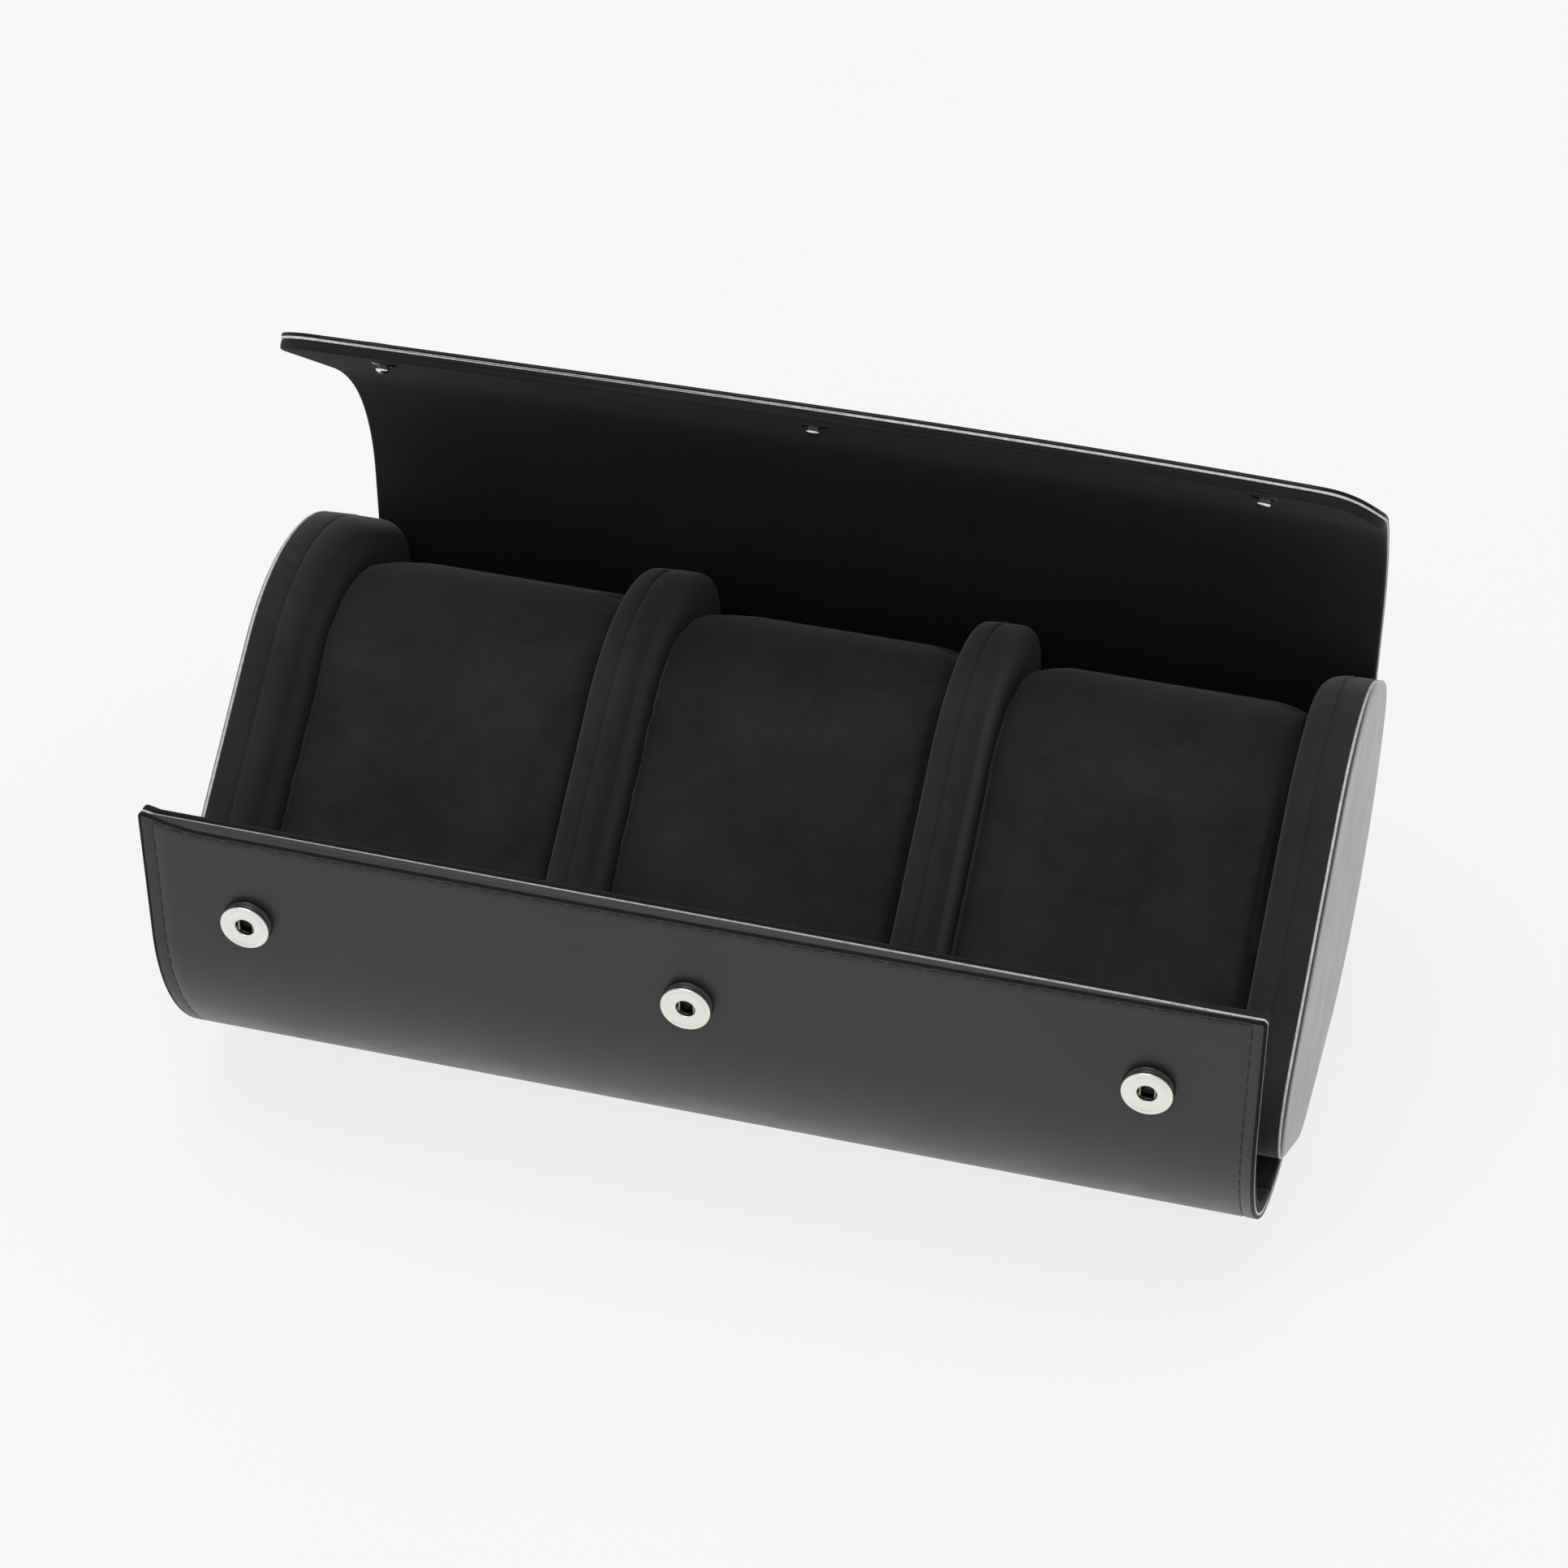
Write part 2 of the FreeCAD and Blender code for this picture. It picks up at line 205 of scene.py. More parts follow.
def outward(obj):
    """Makes every face of a closed mesh look outward."""
    work = bmesh.new()
    work.from_mesh(obj.data)
    bmesh.ops.recalc_face_normals(work, faces=work.faces)
    work.to_mesh(obj.data)
    work.free()
    return obj


def loft(rows):
    """Points and quads of a skin over closed rings of points, with both ends left open."""
    count = len(rows[0])
    points = [p for row in rows for p in row]
    faces = []
    for r in range(len(rows) - 1):
        for c in range(count):
            d = (c + 1) % count
            faces.append((r * count + c, r * count + d, (r + 1) * count + d, (r + 1) * count + c))
    return points, faces


def cap_ends(points, faces, count):
    """Closes both ends of a skin whose rings have this many points."""
    for first in (0, len(points) - count):
        faces.append(tuple(range(first, first + count)))


def lathe(name, profile, place, axis, material, turns=48, bored=False):
    """Turns a profile of (radius, height) in millimetres about an axis from a place."""
    axis = axis.normalized()
    side = axis.orthogonal().normalized()
    other = axis.cross(side)
    rows = []
    for radius, height in profile:
        ring = []
        for k in range(turns):
            a = 2 * math.pi * k / turns
            around = side * math.cos(a) + other * math.sin(a)
            ring.append(place + axis * (height * MM) + around * (radius * MM))
        rows.append(ring)
    points, faces = loft(rows)
    if not bored:
        cap_ends(points, faces, turns)
    return outward(new_object(name, points, faces, material))


# ---- materials ---------------------------------------------------------------------------------
class Nodes:
    """A small helper that adds nodes to a new material and links them."""

    def __init__(self, name):
        self.material = bpy.data.materials.new(name)
        self.material.use_nodes = True
        self.tree = self.material.node_tree
        self.shader = self.tree.nodes["Principled BSDF"]
        self.coords = self.tree.nodes.new("ShaderNodeTexCoord").outputs["Object"]

    def link(self, source, target):
        self.tree.links.new(source, target)

    def noise(self, scale, detail=3.0, rough=0.55):
        node = self.tree.nodes.new("ShaderNodeTexNoise")
        node.inputs["Scale"].default_value = scale
        node.inputs["Detail"].default_value = detail
        node.inputs["Roughness"].default_value = rough
        self.link(self.coords, node.inputs["Vector"])
        return node.outputs["Fac"]

    def cells(self, scale, feature="F1"):
        node = self.tree.nodes.new("ShaderNodeTexVoronoi")
        node.feature = feature
        node.inputs["Scale"].default_value = scale
        self.link(self.coords, node.inputs["Vector"])
        return node.outputs

    def ramp(self, fac, stops):
        node = self.tree.nodes.new("ShaderNodeValToRGB")
        elements = node.color_ramp.elements
        while len(elements) < len(stops):
            elements.new(0.5)
        for element, (place, value) in zip(elements, stops):
            element.position = place
            colour = value if isinstance(value, tuple) else (value, value, value)
            element.color = (*colour, 1)
        self.link(fac, node.inputs["Fac"])
        return node.outputs["Color"]

    def math(self, operation, a, b):
        node = self.tree.nodes.new("ShaderNodeMath")
        node.operation = operation
        for socket, value in zip(node.inputs, (a, b)):
            if isinstance(value, (int, float)):
                socket.default_value = value
            else:
                self.link(value, socket)
        return node.outputs[0]

    def mix(self, fac, a, b):
        node = self.tree.nodes.new("ShaderNodeMix")
        node.data_type = "RGBA"
        self.link(fac, node.inputs[0])
        for socket, value in ((node.inputs[6], a), (node.inputs[7], b)):
            if isinstance(value, tuple):
                socket.default_value = (*value, 1)
            else:
                self.link(value, socket)
        return node.outputs[2]

    def bump(self, height, strength, distance):
        node = self.tree.nodes.new("ShaderNodeBump")
        node.inputs["Strength"].default_value = strength
        node.inputs["Distance"].default_value = distance
        self.link(height, node.inputs["Height"])
        self.link(node.outputs["Normal"], self.shader.inputs["Normal"])

    def set(self, **values):
        for name, value in values.items():
            self.shader.inputs[name.replace("_", " ")].default_value = value


def shade(colour, factor):
    return tuple(c * factor for c in colour)


def leather_material(name, colour, low_rough, high_rough, grain, coat=0.0):
    """Smooth finished leather: fine pebble grain, slow tone changes, uneven gloss."""
    n = Nodes(name)
    tone = n.noise(14.0, 4.0)
    base = n.ramp(tone, [(0.3, shade(colour, 0.86)), (0.7, shade(colour, 1.16))])
    n.link(base, n.shader.inputs["Base Color"])
    gloss = n.noise(60.0, 5.0, 0.6)
    n.link(n.ramp(gloss, [(0.25, low_rough), (0.75, high_rough)]), n.shader.inputs["Roughness"])
    pebble = n.cells(900.0, "SMOOTH_F1")["Distance"]
    fine = n.noise(2600.0, 2.0)
    n.bump(n.math("ADD", pebble, n.math("MULTIPLY", fine, 0.35)), grain, 0.12 * MM)
    n.set(Specular_IOR_Level=0.5, Coat_Weight=coat, Coat_Roughness=0.08)
    return n.material


SPECK_COLOUR = (0.16, 0.15, 0.14)


def suede_material(name, colour, mottle, fibre, sheen, specks=False):
    """Napped microfibre: brushed patches, short fibres, a soft sheen and a few stray specks."""
    n = Nodes(name)
    patches = n.noise(34.0, 6.0, 0.62)
    strokes = n.noise(160.0, 4.0, 0.7)
    tone = n.math("ADD", n.math("MULTIPLY", patches, 0.72), n.math("MULTIPLY", strokes, 0.28))
    base = n.ramp(tone, [(0.36, shade(colour, 1 - mottle)), (0.64, shade(colour, 1 + mottle))])
    if specks:
        cell = n.cells(95.0)
        near = n.math("LESS_THAN", cell["Distance"], 0.05)
        chosen = n.math("LESS_THAN", n.ramp(cell["Color"], [(0.0, 0.0), (1.0, 1.0)]), 0.16)
        base = n.mix(n.math("MULTIPLY", near, chosen), base, SPECK_COLOUR)
    n.link(base, n.shader.inputs["Base Color"])
    fibres = n.noise(1500.0, 3.0, 0.8)
    n.bump(n.math("ADD", fibres, n.math("MULTIPLY", strokes, 0.8)), fibre, 0.2 * MM)
    n.set(Roughness=0.93, Sheen_Weight=sheen, Sheen_Roughness=0.45, Specular_IOR_Level=0.2)
    return n.material


def metal_material(name, colour, rough):
    """Bright plating with faint scuffs."""
    n = Nodes(name)
    scuffs = n.noise(700.0, 4.0, 0.7)
    n.link(n.ramp(scuffs, [(0.35, rough * 0.8), (0.75, rough * 1.7)]), n.shader.inputs["Roughness"])
    tone = n.noise(220.0, 2.0)
    base = n.ramp(tone, [(0.3, shade(colour, 0.93)), (0.7, colour)])
    n.link(base, n.shader.inputs["Base Color"])
    n.bump(scuffs, 0.08, 0.05 * MM)
    n.set(Metallic=1.0)
    return n.material


def edge_material(name, colour, rough, shine=0.4):
    """The cut edge of leather, or a painted highlight along an edge: short fibres and small tone
    changes.
    """
    n = Nodes(name)
    fibres = n.noise(900.0, 4.0, 0.7)
    base = n.ramp(fibres, [(0.3, shade(colour, 0.6)), (0.6, colour)])
    n.link(base, n.shader.inputs["Base Color"])
    n.bump(fibres, 0.3, 0.1 * MM)
    n.set(Roughness=rough, Specular_IOR_Level=shine)
    return n.material


def thread_material(name, colour):
    """Twisted waxed thread."""
    n = Nodes(name)
    twist = n.noise(2400.0, 2.0)
    base = n.ramp(twist, [(0.35, shade(colour, 0.5)), (0.65, colour)])
    n.link(base, n.shader.inputs["Base Color"])
    n.bump(twist, 0.4, 0.08 * MM)
    n.set(Roughness=0.55)
    return n.material


def floor_material():
    """Pale paper that glows a little, so the shadows on it stay faint."""
    n = Nodes("studio_paper")
    tone = n.noise(3.0, 2.0)
    n.link(n.ramp(tone, [(0.3, 0.115), (0.7, 0.125)]), n.shader.inputs["Base Color"])
    n.set(Roughness=0.95, Specular_IOR_Level=0.1)
    n.set(Emission_Color=(1, 1, 1, 1), Emission_Strength=0.80)
    return n.material


BLACK_LEATHER = (0.0125, 0.013, 0.0142)
GLOSS_LEATHER = (0.02, 0.021, 0.023)
LINING_BLACK = (0.0122, 0.0127, 0.0127)
WALL_BLACK = (0.0188, 0.0190, 0.0190)
PILLOW_BLACK = (0.0160, 0.0162, 0.0161)
EDGE_PAINT = (0.008, 0.0068, 0.0070)

LEATHER = leather_material("black_leather", BLACK_LEATHER, 0.34, 0.44, grain=0.10)
PANEL = leather_material("gloss_leather", GLOSS_LEATHER, 0.22, 0.30, grain=0.03, coat=0.10)
LINING = suede_material("lining_suede", LINING_BLACK, mottle=0.16, fibre=0.25, sheen=0.02)
WALL_SUEDE = suede_material("wall_suede", WALL_BLACK, mottle=0.26, fibre=0.4, sheen=0.16)
PILLOW_SUEDE = suede_material("pillow_suede", PILLOW_BLACK, mottle=0.38, fibre=0.4, sheen=0.12,
                              specks=True)
# Pale edge colour: partly the cut edge's own tone, partly a painted highlight along rounded edges,
# and the painted highlight cord round the end panels.
PALE_EDGE_AND_HIGHLIGHT = edge_material("raw_edge_and_painted_highlight", (0.62, 0.60, 0.57), 0.6)
EDGE = edge_material("painted_edge", EDGE_PAINT, 0.5, shine=0.12)
THREAD_BLACK = thread_material("black_thread", (0.006, 0.006, 0.006))
NICKEL = metal_material("nickel", (0.86, 0.84, 0.80), 0.16)
# Black metal for the studs' flanges and caps; on the socket's neck its black is painted shade under
# the disc.
DARK_METAL_AND_SHADE = metal_material("black_enamel_and_painted_shade", (0.05, 0.05, 0.052), 0.25)
# The spring wires are darkened as painted shade of the socket's deep bore.
SHADED_SPRING_WIRE = metal_material("spring_wire_painted_shade", (0.30, 0.29, 0.28), 0.3)


# ---- the wrap ----------------------------------------------------------------------------------
def flare(at, x):
    """A place across the width, spread outward near the lid's edge."""
    lid = max(0.0, 1 - (LID_EDGE_AT - at) / BOW_REACH)
    return x + LID_FLARE * (x / HALF_WIDTH) * lid ** 2


def groove(to_side, to_edge):
    """Depth of the pressed stitch line at a point, from its distances to the wrap's edges."""
    away = abs(min(to_side, to_edge) - STITCH_INSET)
    return GROOVE_DEPTH * max(0.0, 1 - away / GROOVE_HALF)


def rounded_side(reach, half, low, high, round_off):
    """The right side of a layer's section, from its outer face round to its inner face."""
    quarter = [k * RIGHT_ANGLE / 3 for k in range(1, 3)]
    side = []
    for a in quarter:
        side.append((reach + round_off * math.sin(a), low + round_off * (1 - math.cos(a))))
    side.append((half, (low + high) / 2))
    for a in quarter:
        side.append((reach + round_off * math.cos(a), high - round_off * (1 - math.sin(a))))
    return side


def cross_section(at, half, low, high, round_off, to_edge, columns=44):
    """A closed loop across the width at one place: outer face, side, inner face, side."""
    reach = half - round_off
    xs = [-reach + 2 * reach * k / columns for k in range(columns + 1)]
    for side in (-1, 1):
        xs += [side * (half - STITCH_INSET + k * GROOVE_HALF) for k in (-1, 0, 1)]
        xs.append(side * (half - EDGE_BAND))
    xs.sort()
    pressed = 1 if low == 0 else 0
    past_edge = to_edge + STITCH_INSET - EDGE_STITCH
    right = rounded_side(reach, half, low, high, round_off)
    loop = [(x, low + pressed * groove(half - abs(x), past_edge)) for x in xs]
    loop += right
    loop += [(x, high) for x in reversed(xs)]
    loop += [(-x, depth) for x, depth in reversed(right)]
    return [on_wrap(at + bow(at, x), depth - lift(at, x), flare(at, x))[0] for x, depth in loop]


def stations(start, end, corner, edge_low, edge_high):
    """Places along a strip, closer together where its free corners and edges are rounded."""
    places = {start, end}
    count = max(2, int((end - start) / STEP))
    places |= {start + (end - start) * k / count for k in range(count + 1)}
    for is_edge, edge, inward in ((edge_low, start, 1), (edge_high, end, -1)):
        if is_edge:
            for radius, steps in ((corner, 10), (EDGE_ROUND, 4)):
                for k in range(1, steps):
                    a = k * RIGHT_ANGLE / steps
                    places.add(edge + inward * radius * (1 - math.sin(a)))
            for k in (-1, 0, 1):
                places.add(edge + inward * (EDGE_STITCH + k * GROOVE_HALF))
            places.add(edge + inward * EDGE_BAND)
    return sorted(places)


def cut_back(radius, to_edge):
    """What a rounded corner of this radius takes off at a distance from the edge."""
    if to_edge >= radius:
        return 0.0
    return radius - math.sqrt(radius ** 2 - (radius - to_edge) ** 2)


def strip(name, length_name, low, high, inset, round_off, material):
    """A closed layer of the wrap between two depths, rounded at its free edge."""
    start, end = LENGTHS[length_name][:2]
    edge_low, edge_high = length_name == "flap", length_name == "back"
    corner = FLAP_CORNER if edge_low else LID_CORNER
    if edge_low:
        start += inset
    if edge_high:
        end -= inset
    rows = []
    places = stations(start, end, corner, edge_low, edge_high)
    for at in places:
        to_edge = FAR_FROM_EDGE
        if edge_low:
            to_edge = at - start
        if edge_high:
            to_edge = end - at
        thin = cut_back(round_off, to_edge)
        half = HALF_WIDTH - inset - cut_back(corner, to_edge)
        rows.append(cross_section(at, half, low + thin, high - thin, round_off - thin, to_edge))
    points, faces = loft(rows)
    cap_ends(points, faces, len(rows[0]))
    obj = new_object(name, points, faces, material)
    if low == 0:
        paint_edges(obj, rows, start if edge_low else None, end if edge_high else None, places)
    return outward(obj)


def paint_edges(obj, rows, edge_low, edge_high, places):
    """Edge paint on the faces of the outer leather that lie along its free edges."""
    obj.data.materials.append(EDGE)
    count = len(rows[0])
    for polygon in obj.data.polygons:
        if len(polygon.vertices) != 4:
            continue
        row = polygon.index // count
        middle = (places[row] + places[row + 1]) / 2
        half = max(abs(p.x) for p in rows[row])
        near_side = half - abs(polygon.center.x) < EDGE_BAND
        near_low = edge_low is not None and middle - edge_low < EDGE_BAND
        near_high = edge_high is not None and edge_high - middle < EDGE_BAND
        if near_side or near_low or near_high:
            polygon.material_index = 1


def bend(obj, length_name):
    """Bakes the piece's transform into its mesh; its fold is looked up, but nothing bends it."""
    _, _, body_a, body_b, fold, direction = LENGTHS[length_name]
    centre, along, _ = on_wrap(fold, THICKNESS / 2)
    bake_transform(obj)
    return obj


CAPSULE_RINGS = ((-0.5, 0.25), (-0.42, 0.8), (-0.2, 1.0), (0.2, 1.0), (0.42, 0.8), (0.5, 0.25))


def capsule(points, faces, middle, along, normal, length, radius):
    """A short bar with rounded ends, added to the points and faces of a mesh."""
    sides, first = 6, len(points)
    across = along.cross(normal)
    for place, size in CAPSULE_RINGS:
        for k in range(sides):
            a = 2 * math.pi * k / sides
            offset = across * math.cos(a) + normal * math.sin(a)
            points.append(middle + along * (place * length) + offset * (radius * size))
    for r in range(len(CAPSULE_RINGS) - 1):
        for c in range(sides):
            d = (c + 1) % sides
            a, b = first + r * sides, first + (r + 1) * sides
            faces.append((a + c, a + d, b + d, b + c))
    faces.append(tuple(range(first, first + sides)))
    last = first + (len(CAPSULE_RINGS) - 1) * sides
    faces.append(tuple(range(last, last + sides)))


def stitch_rows(length_name):
    """Paths of (place along the wrap, x) under the stitches: both sides and round a free edge."""
    start, end = LENGTHS[length_name][:2]
    side_x = HALF_WIDTH - STITCH_INSET
    if length_name == "front":
        return [[(start, side * side_x), (end, side * side_x)] for side in (-1, 1)]
    is_flap = length_name == "flap"
    edge, inward, far = (start, 1, end) if is_flap else (end, -1, start)
    radius = max((FLAP_CORNER if is_flap else LID_CORNER) - STITCH_INSET, 0.0)
    right = [(far, side_x)]
    for k in range(9):
        a = k * RIGHT_ANGLE / 8
        at = edge + inward * (EDGE_STITCH + radius * (1 - math.sin(a)))
        right.append((at, side_x - radius * (1 - math.cos(a))))
    return [right + [(at, -x) for at, x in reversed(right)]]


def stitches(length_name):
    """Running stitches in the outer face's pressed line, but none on the flat bottom."""
    chance = random.Random(len(length_name))
    points, faces = [], []
    depth = GROOVE_DEPTH * THREAD_SINK + THREAD / 2
    for row in stitch_rows(length_name):
        path = np.array(row)
        walked = np.concatenate([[0], np.cumsum(np.hypot(*np.diff(path, axis=0).T))])

        def place(distance):
            at, x = (float(np.interp(distance, walked, path[:, k])) for k in (0, 1))
            return on_wrap(at + bow(at, x), depth - lift(at, x), flare(at, x))

        count = int(walked[-1] / STITCH_PITCH)
        for k in range(count):
            distance = (k + 0.5) * walked[-1] / count
            middle, _, normal = place(distance)
            along = (place(distance + MM)[0] - place(distance - MM)[0]).normalized()
            length = STITCH_LENGTH * chance.uniform(0.85, 1.2)
            if normal.z < FLAT_BOTTOM:
                capsule(points, faces, middle, along, normal, length, THREAD)
    return outward(new_object("stitches_" + length_name, points, faces, THREAD_BLACK))


def build_wrap():
    nodes = {
        "flap": ["flap_upper_leather", "flap_upper_board", "flap_upper_lining"],
        "front": ["flap_lower_leather", "flap_lower_board", "flap_lower_lining"],
        "back": ["wrap_base_leather", "wrap_base_board", "wrap_base_lining",
                 "lid_leather", "lid_board", "lid_lining"],
    }
    pale_edge_end = LEATHER_DEPTH + PALE_EDGE_DEPTH
    for name, replaced in nodes.items():
        outer = strip(f"{name}_leather", name, 0.0, LEATHER_DEPTH, 0.0, LEATHER_ROUND, LEATHER)
        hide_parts(*replaced)
        # A pale layer between leather and lining: the cut edge, made pale partly as a painted
        # highlight along the rounded edge.
        raw_and_highlight = strip(f"{name}_raw_edge_and_painted_highlight", name, LEATHER_DEPTH, pale_edge_end, PALE_EDGE_INSET, PALE_EDGE_ROUND, PALE_EDGE_AND_HIGHLIGHT)
        inner = strip(f"{name}_lining", name, pale_edge_end, THICKNESS, LINING_INSET, EDGE_ROUND, LINING)
        thread = stitches(name)
        for piece in (outer, raw_and_highlight, inner, thread):
            bend(piece, name)


# ---- end walls, dividers and pillows -----------------------------------------------------------
def outline_of(node, count=144):
    """A CAD node's outline seen along X: its convex hull, as evenly spaced points."""
    vertices = frame["nodes"][node].data.vertices
    points = sorted({(round(v.co.y, 6), round(v.co.z, 6)) for v in vertices})

    def chain(ordered):
        hull = []
        for p in ordered:
            while len(hull) > 1:
                (ay, az), (by, bz) = hull[-2:]
                if (by - ay) * (p[1] - az) - (bz - az) * (p[0] - ay) > 0:
                    break
                hull.pop()
            hull.append(p)
        return hull[:-1]

    hull = np.array(chain(points) + chain(points[::-1]))
    closed = np.vstack([hull, hull[:1]])
    steps = np.hypot(*np.diff(closed, axis=0).T)
    at = np.concatenate([[0], np.cumsum(steps)])
    even = np.linspace(0, at[-1], count, endpoint=False)
    return np.stack([np.interp(even, at, closed[:, k]) for k in (0, 1)], 1)


def inset_outline(outline, inset, deepest=9 * MM):
    """The outline moved inward: by its normals near the rim, then shrunk towards the middle."""
    along = np.roll(outline, -1, 0) - np.roll(outline, 1, 0)
    along /= np.linalg.norm(along, axis=1)[:, None]
    inward = np.stack([-along[:, 1], along[:, 0]], 1)
    moved = outline + inward * min(inset, deepest)
    if inset > deepest:
        middle = moved.mean(0)
        reach = np.linalg.norm(moved - middle, axis=1).min()
        moved = middle + (moved - middle) * max(0.02, 1 - (inset - deepest) / reach)
    return moved


def slab_from_profile(name, outline, profile, material):
    """A closed slab: the outline swept through (x, inset) pairs from one face to the other."""
    rows = []
    for x, inset in profile:
        rows.append([Vector((x, y, z)) for y, z in inset_outline(outline, inset)])
    points, faces = loft(rows)
    cap_ends(points, faces, len(rows[0]))
    return outward(new_object(name, points, faces, material))


FACE_INSETS = [k * 4 * MM for k in range(9, 0, -1)]     # rings on a flat face, from its middle out
CREASE_DEPTH = 0.45 * MM
CREASE_HALF = 0.55 * MM
PANEL_STEP = 0.7 * MM           # the outer panel stands this proud of an end wall's rim
HIGHLIGHT_CORD = 0.3 * MM               # radius of the pale cord at the panel's edge, a painted highlight along the rim's edge
PILLOW_SHRINK = 0.3 * MM        # room for a pillow to swell
PILLOW_ROUND = 1.6 * MM
CLOTH_MESH = 2.0 * MM
MOST_SWELL = 0.7 * MM


def shoulder(x_edge, x_face, rise, steps=6):
    """A quarter round from the rim at x_edge down to the face at x_face."""
    run = x_face - x_edge
    angles = [k * RIGHT_ANGLE / steps for k in range(steps + 1)]
    return [(x_edge + run * math.sin(a), rise * (1 - math.cos(a))) for a in angles]


def wall_profile(x_out, x_in, outer_rise, inner_rise, outer_run, inner_run):
    """Rim and faces of a padded wall: rounded shoulders and one sewn crease in the rim."""
    way = 1 if x_in > x_out else -1
    width = abs(x_in - x_out)
    crease = x_out + way * width / 2
    dent, reach = CREASE_DEPTH, CREASE_HALF
    deep_outer = [(x_out, outer_rise + inset) for inset in FACE_INSETS]
    outer = [(x, i) for x, i in reversed(shoulder(x_out + way * outer_run, x_out, outer_rise))]
    groove = [(crease - way * reach, 0.0), (crease - way * reach * 0.4, dent * 0.6), (crease, dent),
              (crease + way * reach * 0.4, dent * 0.6), (crease + way * reach, 0.0)]
    inner = shoulder(x_in - way * inner_run, x_in, inner_rise)
    deep_inner = [(x_in, inner_rise + inset) for inset in reversed(FACE_INSETS)]
    return deep_outer + outer + groove + inner + deep_inner


def build_end_wall(side_name, side):
    node = "end_wall_cover_" + side_name
    low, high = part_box(node)
    x_out, x_in = (high.x, low.x) if side > 0 else (low.x, high.x)
    x_rim = x_out - side * PANEL_STEP
    outline = outline_of(node)
    profile = wall_profile(x_rim, x_in, outer_rise=0.5 * MM, inner_rise=4.2 * MM,
                           outer_run=0.5 * MM, inner_run=4.6 * MM)
    wall = slab_from_profile("end_wall_" + side_name, outline, profile, WALL_SUEDE)
    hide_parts(node, "end_wall_core_" + side_name, "end_wall_lining_" + side_name)
    panel_profile = [(x_out, 1.1 * MM + inset) for inset in FACE_INSETS]
    panel_profile += [(x_out, 0.6 * MM), (x_out - side * 0.3 * MM, 0.15 * MM)]
    panel_profile += [(x_rim, 0.05 * MM), (x_rim, 2 * MM)]
    panel = slab_from_profile("end_panel_" + side_name, outline, panel_profile, PANEL)
    # A pale cord round the rim's edge is a painted highlight, where the rounded rim catches the
    # light.
    cord_path = inset_outline(outline, HIGHLIGHT_CORD / 2)
    highlight_cord = tube_round("end_highlight_cord_" + side_name, cord_path, x_rim, HIGHLIGHT_CORD)
    for piece in (wall, panel, highlight_cord):
        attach(piece, "case")


def tube_round(name, outline, x, radius, sides=6):
    """A thin pale cord laid round an outline: a painted highlight along an edge."""
    middle = outline.mean(0)
    rows = []
    for y, z in np.vstack([outline, outline[:1]]):
        out = (np.array((y, z)) - middle) / np.linalg.norm(np.array((y, z)) - middle)
        ring = []
        for k in range(sides):
            a = 2 * math.pi * k / sides
            offset = out * radius * math.cos(a)
            ring.append(Vector((x + radius * math.sin(a), y + offset[0], z + offset[1])))
        rows.append(ring)
    points, faces = loft(rows)
    return outward(new_object(name, points, faces, PALE_EDGE_AND_HIGHLIGHT))


def build_divider(side_name):
    node = "divider_rim_" + side_name
    low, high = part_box(node)
    profile = wall_profile(low.x, high.x, outer_rise=2.0 * MM, inner_rise=3.6 * MM,
                           outer_run=2.0 * MM, inner_run=3.6 * MM)
    divider = slab_from_profile("divider_" + side_name, outline_of(node), profile, WALL_SUEDE)
    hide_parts(node, "divider_core_" + side_name, "divider_suede_" + side_name)
    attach(divider, "case")


def inflate(obj, voxel, cap, pressure=4.0, frames=20):
    """Swells a closed mesh as cloth, then limits how far any point has moved."""
    remesh = obj.modifiers.new("remesh", "REMESH")
    remesh.mode = "VOXEL"
    remesh.voxel_size = voxel
    bpy.context.view_layer.objects.active = obj
    bpy.ops.object.modifier_apply(modifier=remesh.name)
    start = np.array([v.co for v in obj.data.vertices])
    cloth = obj.modifiers.new("cloth", "CLOTH")
    cloth.settings.use_pressure = True
    cloth.settings.uniform_pressure_force = pressure
    cloth.settings.effector_weights.gravity = 0
    cloth.settings.quality = 6
    scene = bpy.context.scene
    for number in range(1, frames + 1):
        scene.frame_set(number)
    swollen = obj.evaluated_get(bpy.context.evaluated_depsgraph_get())
    moved = np.array([v.co for v in swollen.data.vertices])
    obj.modifiers.remove(cloth)
    scene.frame_set(1)
    step = moved - start
    far = np.linalg.norm(step, axis=1)
    step *= np.minimum(1, cap / np.maximum(far, 1e-9))[:, None]
    for vertex, point in zip(obj.data.vertices, start + step):
        vertex.co = point
    smooth = obj.modifiers.new("smooth", "SUBSURF")
    smooth.levels = smooth.render_levels = 1
    bpy.ops.object.modifier_apply(modifier=smooth.name)
    for polygon in obj.data.polygons:
        polygon.use_smooth = True


def build_pillow(place):
    """A cushion of the CAD pillow's outline, with rounded ends, swollen as cloth."""
    node = "pillow_cover_" + place
    low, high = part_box(node)
    x_left, x_right = low.x + PILLOW_SHRINK, high.x - PILLOW_SHRINK
    outline = inset_outline(outline_of(node), PILLOW_SHRINK)
    left_face = [(x_left, PILLOW_ROUND + inset) for inset in FACE_INSETS]
    left = list(reversed(shoulder(x_left + PILLOW_ROUND, x_left, PILLOW_ROUND)))
    right = shoulder(x_right - PILLOW_ROUND, x_right, PILLOW_ROUND)
    right_face = [(x_right, PILLOW_ROUND + inset) for inset in reversed(FACE_INSETS)]
    profile = left_face + left + right + right_face
    pillow = slab_from_profile("pillow_" + place, outline, profile, PILLOW_SUEDE)
    inflate(pillow, CLOTH_MESH, MOST_SWELL)
    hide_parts(node, "pillow_core_" + place)
    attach(pillow, "pillow_" + place)


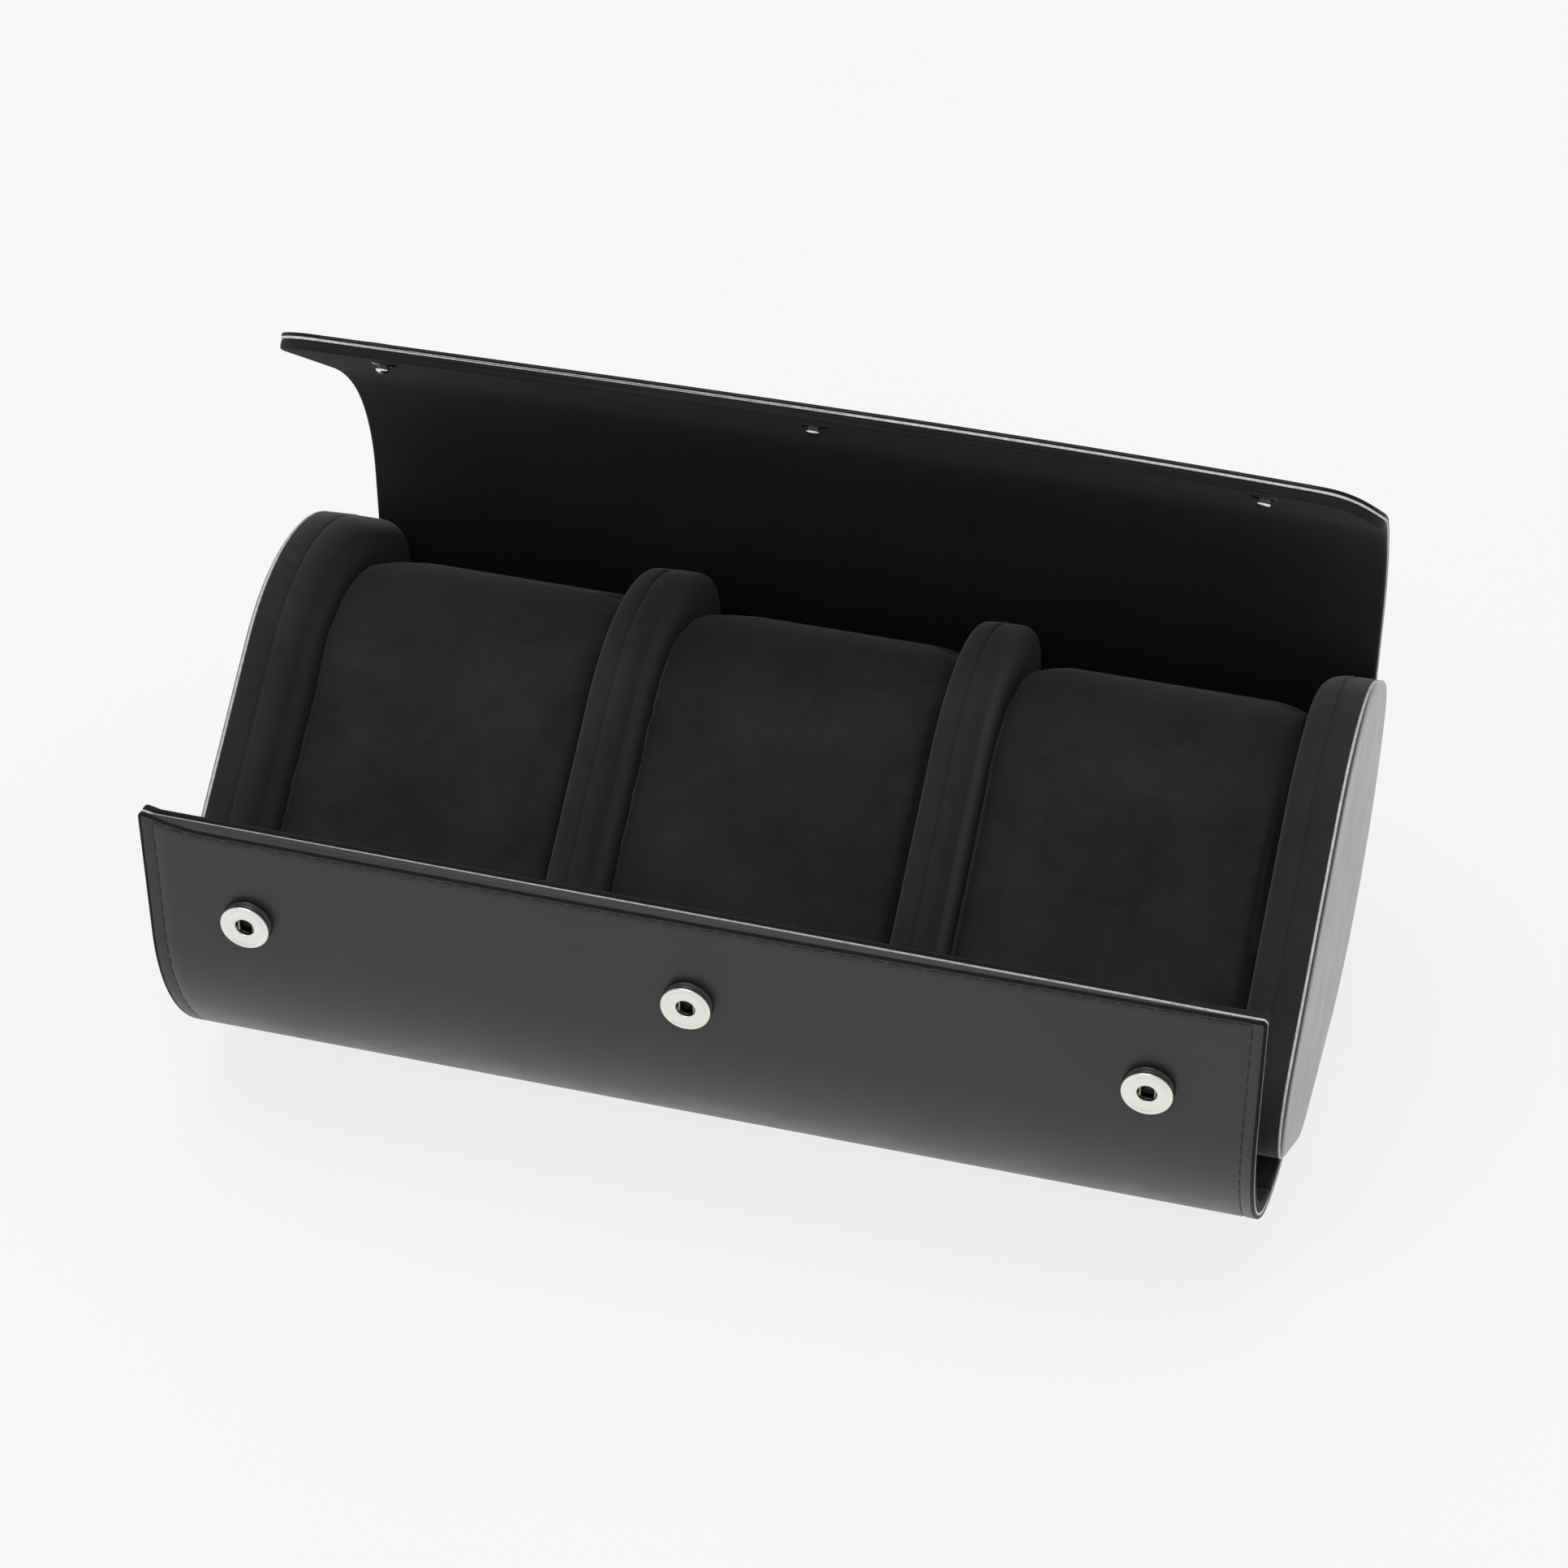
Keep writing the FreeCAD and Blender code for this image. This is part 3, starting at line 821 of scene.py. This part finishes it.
# ---- press studs -------------------------------------------------------------------------------
# Profiles of (radius, height) in millimetres.
SOCKET_NECK = [(2.1, 0.0), (4.9, 0.0), (5.0, 0.3), (4.6, 0.5), (4.35, 0.8), (4.35, 1.5),
               (2.1, 1.5), (2.1, 0.0)]
SOCKET_DISC = [(1.9, 1.4), (4.6, 1.4), (4.85, 1.5), (5.0, 1.75), (4.98, 2.1), (4.8, 2.36),
               (4.55, 2.42), (4.2, 2.38), (4.05, 2.2), (3.9, 2.14), (3.6, 2.24), (2.3, 2.26),
               (2.05, 2.2), (1.9, 2.0), (1.9, 1.4)]
STUD_FLANGE = [(0.001, -0.2), (2.4, -0.2), (2.5, 0.1), (2.2, 0.3), (0.001, 0.35)]
STUD_HEAD = [(0.001, 0.2), (1.1, 0.2), (1.05, 0.6), (1.4, 0.95), (1.45, 1.25), (1.2, 1.6),
             (0.7, 1.85), (0.001, 1.95)]
CAP_DOME = [(0.001, -0.3), (5.9, -0.3), (6.0, 0.05), (5.8, 0.2), (5.0, 0.3), (3.4, 0.36),
            (1.6, 0.39), (0.001, 0.4)]
SOCKET_TURNS = 64


def build_socket(place):
    """A neck painted black as the shade under a nickel disc with a bore, and the spring wires seen
    through it, darkened as painted shade.
    """
    node = "snap_socket_" + place
    low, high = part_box(node)
    out = Vector((0, -1, 0))
    base = Vector(((low.x + high.x) / 2, high.y, (low.z + high.z) / 2))
    turns = SOCKET_TURNS
    # The neck's black is painted shade: it stands for the shadow under the disc's rim.
    neck = lathe("socket_neck_" + place, SOCKET_NECK, base, out, DARK_METAL_AND_SHADE, turns, bored=True)
    disc = lathe("socket_" + place, SOCKET_DISC, base, out, NICKEL, turns, bored=True)
    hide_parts(node)
    for piece in (neck, disc):
        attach(piece, "flap_upper")
    for name, material in (("snap_spring_", SHADED_SPRING_WIRE), ("snap_eyelet_", DARK_METAL_AND_SHADE)):
        materials = frame["nodes"][name + place].data.materials
        materials.clear()
        materials.append(material)


def build_stud(place):
    """A small nickel head on a dark flange inside the lid, and a low cap outside."""
    at = LID_EDGE_AT - STUD_FROM_EDGE
    low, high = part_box("snap_stud_" + place)
    x = (low.x + high.x) / 2
    along_wrap = at + bow(at, x)
    foot, _, normal = on_wrap(along_wrap, THICKNESS - lift(at, x), x)
    flange = lathe("stud_flange_" + place, STUD_FLANGE, foot, normal, DARK_METAL_AND_SHADE)
    stud = lathe("stud_" + place, STUD_HEAD, foot, normal, NICKEL)
    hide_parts("snap_stud_" + place)
    head, _, normal = on_wrap(along_wrap, -lift(at, x), x)
    cap = lathe("cap_" + place, CAP_DOME, head, -normal, DARK_METAL_AND_SHADE)
    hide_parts("snap_cap_" + place)
    for piece in (flange, stud, cap):
        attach(piece, "lid")


# ---- stage, light and camera -------------------------------------------------------------------
CAMERA_AZIMUTH = math.radians(15.35)
CAMERA_ELEVATION = math.radians(38.74)
CAMERA_DISTANCE = 785.3 * MM
AIM_RIGHT = -18.1 * MM          # the flap's middle stands this far from the frame's centre
AIM_UP = -25.2 * MM
LENS = 96.9
WORLD_LIGHT = 0.82


def build_stage():
    size = 4.0
    corners = [(-size, -size, 0), (size, -size, 0), (size, size, 0), (-size, size, 0)]
    floor = new_object("floor", corners, [(0, 1, 2, 3)], floor_material(), smooth=False)


def area_light(name, place, target, size, power):
    light = bpy.data.lights.new(name, "AREA")
    light.shape = "DISK"
    light.size = size
    light.energy = power
    obj = bpy.data.objects.new(name, light)
    bpy.context.scene.collection.objects.link(obj)
    obj.location = place
    obj.rotation_euler = (Vector(target) - Vector(place)).to_track_quat("-Z", "Y").to_euler()


def build_light():
    world = bpy.data.worlds.new("studio")
    bpy.context.scene.world = world
    world.use_nodes = True
    background = world.node_tree.nodes["Background"].inputs
    background["Color"].default_value = (1.0, 1.0, 1.0, 1)
    background["Strength"].default_value = WORLD_LIGHT
    area_light("overhead", (-0.25, -0.15, 1.3), (0, 0, 0.05), size=1.1, power=5.5)
    bpy.context.scene.view_settings.view_transform = "Standard"


def build_camera():
    """The camera that matches the view: to the right of the front and well above it."""
    level = math.cos(CAMERA_ELEVATION)
    aim = Vector((0, FLAP_FRONT, FLAP_TOP))
    right = Vector((math.cos(CAMERA_AZIMUTH), math.sin(CAMERA_AZIMUTH), 0))
    ahead = Vector((-math.sin(CAMERA_AZIMUTH) * level, math.cos(CAMERA_AZIMUTH) * level,
                    -math.sin(CAMERA_ELEVATION)))
    up = right.cross(ahead)
    data = bpy.data.cameras.new("camera")
    data.sensor_width = 36.0
    data.lens = LENS
    data.clip_start = 0.01
    camera = bpy.data.objects.new("camera", data)
    bpy.context.scene.collection.objects.link(camera)
    camera.location = aim - right * AIM_RIGHT - up * AIM_UP - ahead * CAMERA_DISTANCE
    camera.rotation_euler = ahead.to_track_quat("-Z", "Y").to_euler()
    bpy.context.scene.camera = camera


build_wrap()
for side_name, side in (("left", -1), ("right", 1)):
    build_end_wall(side_name, side)
    build_divider(side_name)
for place in ("left", "middle", "right"):
    build_pillow(place)
    build_socket(place)
    build_stud(place)
build_stage()
build_light()
build_camera()
